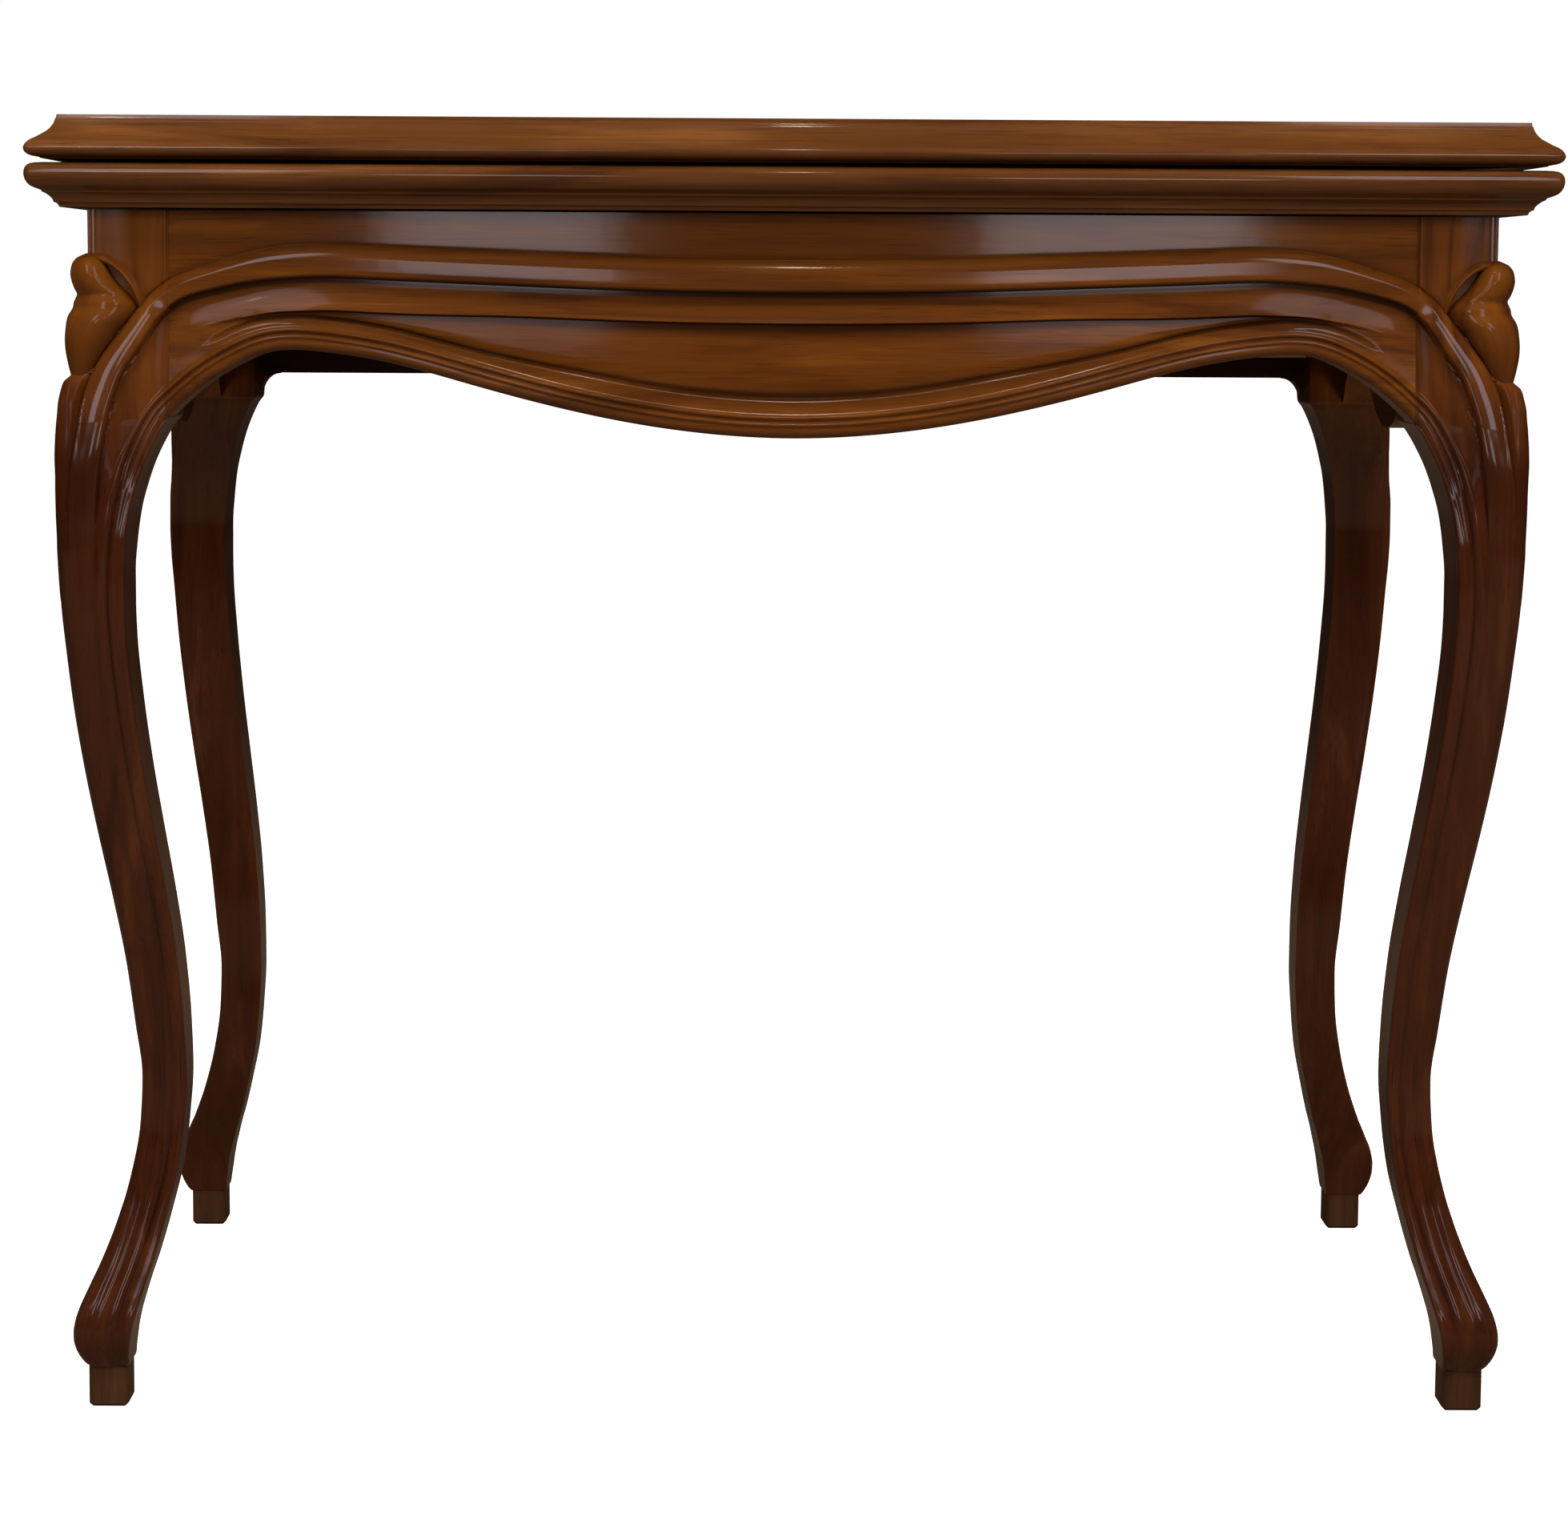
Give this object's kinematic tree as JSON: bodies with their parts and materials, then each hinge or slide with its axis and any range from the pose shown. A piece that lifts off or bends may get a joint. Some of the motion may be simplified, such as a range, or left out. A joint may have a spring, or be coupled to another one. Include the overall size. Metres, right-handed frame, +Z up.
{
  "type": "folding games table",
  "caption": "Games table on cabriole legs, with shaped moulded aprons and a hinged two-leaf top that swivels on the frame and unfolds over a card tray.",
  "frame": {"origin": "centre of the closed table's footprint, on the floor", "axes": "+X along the length of the table to its right, +Y from the front apron to the hinged back, +Z up"},
  "size_m": [0.876, 0.438, 0.76],
  "materials": {
    "leg_wood": "dark red-brown stained wood under glossy varnish",
    "apron_wood": "golden brown stained wood under glossy varnish",
    "leaf_wood": "brown stained wood under glossy varnish",
    "rail_wood": "dark stained wood, satin",
    "pad_wood": "lighter brown worn wood",
    "inner_wood": "plain unvarnished beech",
    "green_cloth": "green wool baize",
    "brown_felt": "thin brown felt",
    "hinge_brass": "aged brass",
    "iron": "dull iron"
  },
  "bodies": {
    "frame": {"front_left_leg": "leg_wood", "front_right_leg": "leg_wood", "back_right_leg": "leg_wood", "back_left_leg": "leg_wood", "front_left_foot_pad": "pad_wood", "front_right_foot_pad": "pad_wood", "back_right_foot_pad": "pad_wood", "back_left_foot_pad": "pad_wood", "front_left_corner_block": "inner_wood", "front_right_corner_block": "inner_wood", "back_right_corner_block": "inner_wood", "back_left_corner_block": "inner_wood", "front_apron": "apron_wood", "left_apron": "apron_wood", "right_apron": "apron_wood", "back_rail": "rail_wood", "pivot_rail": "inner_wood", "corner_block_screws": "iron", "tray_floor": "inner_wood", "front_tray_bearer": "inner_wood", "back_tray_bearer": "inner_wood", "left_tray_end": "inner_wood", "right_tray_end": "inner_wood", "tray_divider": "inner_wood", "front_tray_lining": "green_cloth", "back_tray_lining": "green_cloth", "front_left_felt_strip": "brown_felt", "front_right_felt_strip": "brown_felt", "back_left_felt_strip": "brown_felt", "back_right_felt_strip": "brown_felt"},
    "lower_top": {"lower_leaf": "leaf_wood", "lower_playing_cloth": "green_cloth", "left_hinge_fixed_plate": "hinge_brass", "right_hinge_fixed_plate": "hinge_brass", "left_hinge_pin": "hinge_brass", "right_hinge_pin": "hinge_brass", "lower_hinge_screws": "hinge_brass", "pivot_plate": "iron", "pivot_plate_screws": "iron", "pivot_bolt": "iron", "pivot_washer": "iron", "pivot_nut": "iron", "stop_peg": "inner_wood"},
    "upper_top": {"upper_leaf": "leaf_wood", "upper_playing_cloth": "green_cloth", "left_hinge_lifting_plate": "hinge_brass", "right_hinge_lifting_plate": "hinge_brass", "upper_hinge_screws": "hinge_brass"}
  },
  "joints": [
    {"name": "top_swivel", "type": "hinge", "parent": "frame", "child": "lower_top", "pos_m": [-0.108, 0.108, 0.7074], "axis": [0, 0, 1], "range_deg": [-90, 0]},
    {"name": "leaf_fold", "type": "hinge", "parent": "lower_top", "child": "upper_top", "pos_m": [0, 0.216, 0.7337], "axis": [-1, 0, 0], "range_deg": [0, 180]}
  ]
}
